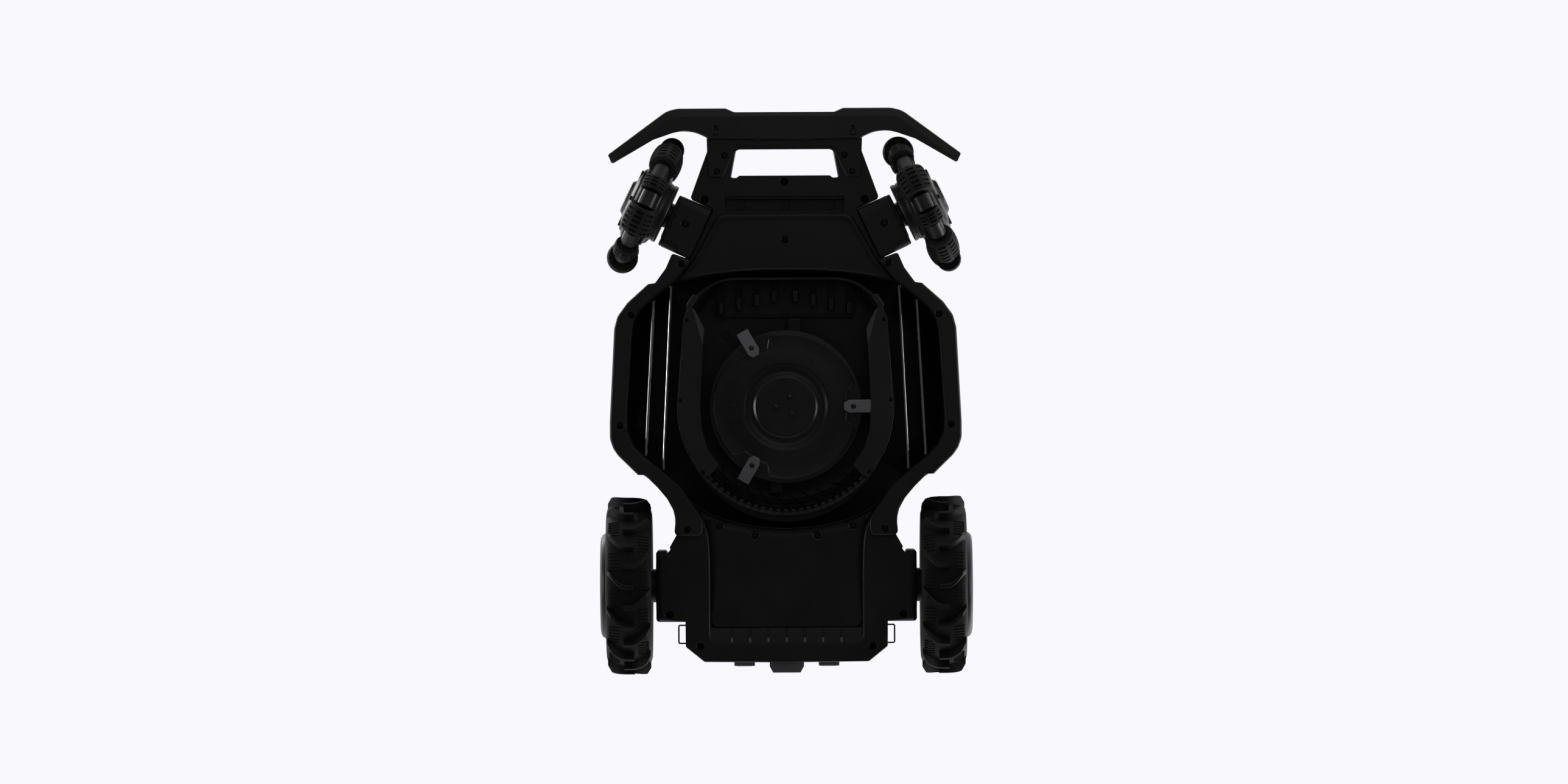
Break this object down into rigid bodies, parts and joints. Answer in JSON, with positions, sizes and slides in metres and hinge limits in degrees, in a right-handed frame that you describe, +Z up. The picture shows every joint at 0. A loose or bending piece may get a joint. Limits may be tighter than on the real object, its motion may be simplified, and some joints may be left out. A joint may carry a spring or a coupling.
{
  "type": "robot mower chassis",
  "caption": "Four-wheel robot mower chassis with toed-in omni front wheels, lugged rear tyres, floating cutting deck with blade disc, side skirts, guard rods and sprung bumper.",
  "frame": {"origin": "middle of the footprint on the ground plane", "axes": "+Z up, the front (bumper) faces -Y, +X is the right hand side as seen in a view of the underside with the front at the top"},
  "size_m": [0.4318, 0.6569, 0.286],
  "materials": {
    "chassis_plastic": "fine moulded grain",
    "housing_plastic": "fine moulded grain",
    "deck_plastic": "fine moulded grain",
    "disc_plastic": "satin",
    "blade_steel": "ground",
    "polished_steel": "polished",
    "motor_steel": "satin",
    "tyre_rubber": "matt",
    "roller_rubber": "matt",
    "rim_plastic": "satin",
    "hub_plastic": "satin",
    "shell_plastic": "satin",
    "cover_plastic": "gloss",
    "button_plastic": "gloss",
    "window_glass": "polished",
    "contact_plastic": "satin",
    "battery_plastic": "matt",
    "board_laminate": "satin"
  },
  "bodies": {
    "chassis": {"lower_chassis": "chassis_plastic", "front_belly_cover": "chassis_plastic", "rear_belly_cover": "chassis_plastic", "left_side_skirt": "chassis_plastic", "right_side_skirt": "chassis_plastic", "bumper_bracket": "chassis_plastic", "left_rear_motor_housing": "housing_plastic", "right_rear_motor_housing": "housing_plastic", "left_front_motor_housing": "housing_plastic", "right_front_motor_housing": "housing_plastic", "left_outer_guard_rod": "polished_steel", "left_inner_guard_rod": "polished_steel", "right_outer_guard_rod": "polished_steel", "right_inner_guard_rod": "polished_steel", "left_wire_loop": "polished_steel", "right_wire_loop": "polished_steel", "height_motor": "motor_steel", "upper_shell": "shell_plastic", "top_cover": "cover_plastic", "sensor_window": "window_glass", "charge_contact": "contact_plastic", "battery_pack": "battery_plastic", "main_board": "board_laminate"},
    "bumper": {"front_bumper": "chassis_plastic"},
    "stop_button": {"stop_button": "button_plastic"},
    "deck": {"deck_housing": "deck_plastic", "left_guard_plate": "deck_plastic", "right_guard_plate": "deck_plastic", "front_comb": "deck_plastic", "blade_motor": "motor_steel"},
    "blade_disc": {"blade_disc": "disc_plastic"},
    "blade_1": {"blade_1": "blade_steel"},
    "blade_2": {"blade_2": "blade_steel"},
    "blade_3": {"blade_3": "blade_steel"},
    "left_rear_wheel": {"left_rear_tyre": "tyre_rubber", "left_rear_rim": "rim_plastic"},
    "right_rear_wheel": {"right_rear_tyre": "tyre_rubber", "right_rear_rim": "rim_plastic"},
    "left_omni_wheel": {"left_omni_hub": "hub_plastic"},
    "left_big_roller_1": {"left_big_roller_1": "roller_rubber"},
    "left_big_roller_2": {"left_big_roller_2": "roller_rubber"},
    "left_big_roller_3": {"left_big_roller_3": "roller_rubber"},
    "left_big_roller_4": {"left_big_roller_4": "roller_rubber"},
    "left_big_roller_5": {"left_big_roller_5": "roller_rubber"},
    "left_small_roller_1": {"left_small_roller_1": "roller_rubber"},
    "left_small_roller_2": {"left_small_roller_2": "roller_rubber"},
    "left_small_roller_3": {"left_small_roller_3": "roller_rubber"},
    "left_small_roller_4": {"left_small_roller_4": "roller_rubber"},
    "left_small_roller_5": {"left_small_roller_5": "roller_rubber"},
    "right_omni_wheel": {"right_omni_hub": "hub_plastic"},
    "right_big_roller_1": {"right_big_roller_1": "roller_rubber"},
    "right_big_roller_2": {"right_big_roller_2": "roller_rubber"},
    "right_big_roller_3": {"right_big_roller_3": "roller_rubber"},
    "right_big_roller_4": {"right_big_roller_4": "roller_rubber"},
    "right_big_roller_5": {"right_big_roller_5": "roller_rubber"},
    "right_small_roller_1": {"right_small_roller_1": "roller_rubber"},
    "right_small_roller_2": {"right_small_roller_2": "roller_rubber"},
    "right_small_roller_3": {"right_small_roller_3": "roller_rubber"},
    "right_small_roller_4": {"right_small_roller_4": "roller_rubber"},
    "right_small_roller_5": {"right_small_roller_5": "roller_rubber"}
  },
  "joints": [
    {"name": "bumper_slide", "type": "slide", "parent": "chassis", "child": "bumper", "axis": [0, 1, 0], "range_m": [0, 0.005], "stiffness_N_per_m": 2500},
    {"name": "stop_button_press", "type": "slide", "parent": "chassis", "child": "stop_button", "axis": [0, 0, -1], "range_m": [0, 0.005], "stiffness_N_per_m": 1500},
    {"name": "deck_height", "type": "slide", "parent": "chassis", "child": "deck", "axis": [0, 0, 1], "range_m": [0, 0.03]},
    {"name": "blade_disc_spin", "type": "hinge", "parent": "deck", "child": "blade_disc", "pos_m": [0, 0.0175, 0.044], "axis": [0, 0, 1], "continuous": true},
    {"name": "blade_1_pivot", "type": "hinge", "parent": "blade_disc", "child": "blade_1", "pos_m": [0.0784, 0.0175, 0.0426], "axis": [0, 0, 1], "continuous": true},
    {"name": "blade_2_pivot", "type": "hinge", "parent": "blade_disc", "child": "blade_2", "pos_m": [-0.0392, -0.0504, 0.0426], "axis": [0, 0, 1], "continuous": true},
    {"name": "blade_3_pivot", "type": "hinge", "parent": "blade_disc", "child": "blade_3", "pos_m": [-0.0392, 0.0854, 0.0426], "axis": [0, 0, 1], "continuous": true},
    {"name": "left_rear_wheel_spin", "type": "hinge", "parent": "chassis", "child": "left_rear_wheel", "pos_m": [-0.18255, 0.2254, 0.1034], "axis": [1, 0, 0], "continuous": true},
    {"name": "right_rear_wheel_spin", "type": "hinge", "parent": "chassis", "child": "right_rear_wheel", "pos_m": [0.18255, 0.2254, 0.1034], "axis": [1, 0, 0], "continuous": true},
    {"name": "left_omni_spin", "type": "hinge", "parent": "chassis", "child": "left_omni_wheel", "pos_m": [-0.1604, -0.2167, 0.085], "axis": [0.9063, 0.4226, 0], "continuous": true},
    {"name": "left_big_roller_1_spin", "type": "hinge", "parent": "left_omni_wheel", "child": "left_big_roller_1", "pos_m": [-0.16818, -0.20001, 0.02079], "axis": [0.4062, -0.8712, -0.2756], "continuous": true},
    {"name": "left_big_roller_2_spin", "type": "hinge", "parent": "left_omni_wheel", "child": "left_big_roller_2", "pos_m": [-0.18861, -0.1562, 0.08267], "axis": [0.0147, -0.0316, -0.9994], "continuous": true},
    {"name": "left_big_roller_3_spin", "type": "hinge", "parent": "left_omni_wheel", "child": "left_big_roller_3", "pos_m": [-0.17006, -0.19599, 0.14777], "axis": [-0.3971, 0.8517, -0.342], "continuous": true},
    {"name": "left_big_roller_4_spin", "type": "hinge", "parent": "left_omni_wheel", "child": "left_big_roller_4", "pos_m": [-0.13815, -0.26441, 0.12613], "axis": [-0.2602, 0.558, 0.788], "continuous": true},
    {"name": "left_big_roller_5_spin", "type": "hinge", "parent": "left_omni_wheel", "child": "left_big_roller_5", "pos_m": [-0.137, -0.26689, 0.04765], "axis": [0.2363, -0.5068, 0.829], "continuous": true},
    {"name": "left_small_roller_1_spin", "type": "hinge", "parent": "left_omni_wheel", "child": "left_small_roller_1", "pos_m": [-0.15019, -0.23858, 0.01866], "axis": [0.3971, -0.8517, 0.342], "continuous": true},
    {"name": "left_small_roller_2_spin", "type": "hinge", "parent": "left_omni_wheel", "child": "left_small_roller_2", "pos_m": [-0.18391, -0.16628, 0.04153], "axis": [0.2602, -0.558, -0.788], "continuous": true},
    {"name": "left_small_roller_3_spin", "type": "hinge", "parent": "left_omni_wheel", "child": "left_small_roller_3", "pos_m": [-0.18514, -0.16365, 0.12448], "axis": [-0.2363, 0.5068, -0.829], "continuous": true},
    {"name": "left_small_roller_4_spin", "type": "hinge", "parent": "left_omni_wheel", "child": "left_small_roller_4", "pos_m": [-0.15218, -0.23434, 0.15287], "axis": [-0.4062, 0.8712, 0.2756], "continuous": true},
    {"name": "left_small_roller_5_spin", "type": "hinge", "parent": "left_omni_wheel", "child": "left_small_roller_5", "pos_m": [-0.13058, -0.28065, 0.08746], "axis": [-0.0147, 0.0316, 0.9994], "continuous": true},
    {"name": "right_omni_spin", "type": "hinge", "parent": "chassis", "child": "right_omni_wheel", "pos_m": [0.1604, -0.2167, 0.085], "axis": [0.9063, -0.4226, 0], "continuous": true},
    {"name": "right_big_roller_1_spin", "type": "hinge", "parent": "right_omni_wheel", "child": "right_big_roller_1", "pos_m": [0.14983, -0.23938, 0.02306], "axis": [0.3918, 0.8403, -0.3746], "continuous": true},
    {"name": "right_big_roller_2_spin", "type": "hinge", "parent": "right_omni_wheel", "child": "right_big_roller_2", "pos_m": [0.18203, -0.17032, 0.04206], "axis": [0.2717, 0.5826, 0.766], "continuous": true},
    {"name": "right_big_roller_3_spin", "type": "hinge", "parent": "right_omni_wheel", "child": "right_big_roller_3", "pos_m": [0.18434, -0.16536, 0.1204], "axis": [-0.224, -0.4803, 0.848], "continuous": true},
    {"name": "right_big_roller_4_spin", "type": "hinge", "parent": "right_omni_wheel", "child": "right_big_roller_4", "pos_m": [0.15357, -0.23135, 0.14982], "axis": [-0.4101, -0.8794, -0.2419], "continuous": true},
    {"name": "right_big_roller_5_spin", "type": "hinge", "parent": "right_omni_wheel", "child": "right_big_roller_5", "pos_m": [0.13224, -0.27709, 0.08966], "axis": [-0.0295, -0.0632, -0.9976], "continuous": true},
    {"name": "right_small_roller_1_spin", "type": "hinge", "parent": "right_omni_wheel", "child": "right_small_roller_1", "pos_m": [0.16762, -0.20122, 0.0165], "axis": [0.4101, 0.8794, 0.2419], "continuous": true},
    {"name": "right_small_roller_2_spin", "type": "hinge", "parent": "right_omni_wheel", "child": "right_small_roller_2", "pos_m": [0.19016, -0.15287, 0.08007], "axis": [0.0295, 0.0632, 0.9976], "continuous": true},
    {"name": "right_small_roller_3_spin", "type": "hinge", "parent": "right_omni_wheel", "child": "right_small_roller_3", "pos_m": [0.17158, -0.19273, 0.15046], "axis": [-0.3918, -0.8403, 0.3746], "continuous": true},
    {"name": "right_small_roller_4_spin", "type": "hinge", "parent": "right_omni_wheel", "child": "right_small_roller_4", "pos_m": [0.13754, -0.26572, 0.13038], "axis": [-0.2717, -0.5826, -0.766], "continuous": true},
    {"name": "right_small_roller_5_spin", "type": "hinge", "parent": "right_omni_wheel", "child": "right_small_roller_5", "pos_m": [0.1351, -0.27096, 0.04759], "axis": [0.224, 0.4803, -0.848], "continuous": true}
  ]
}
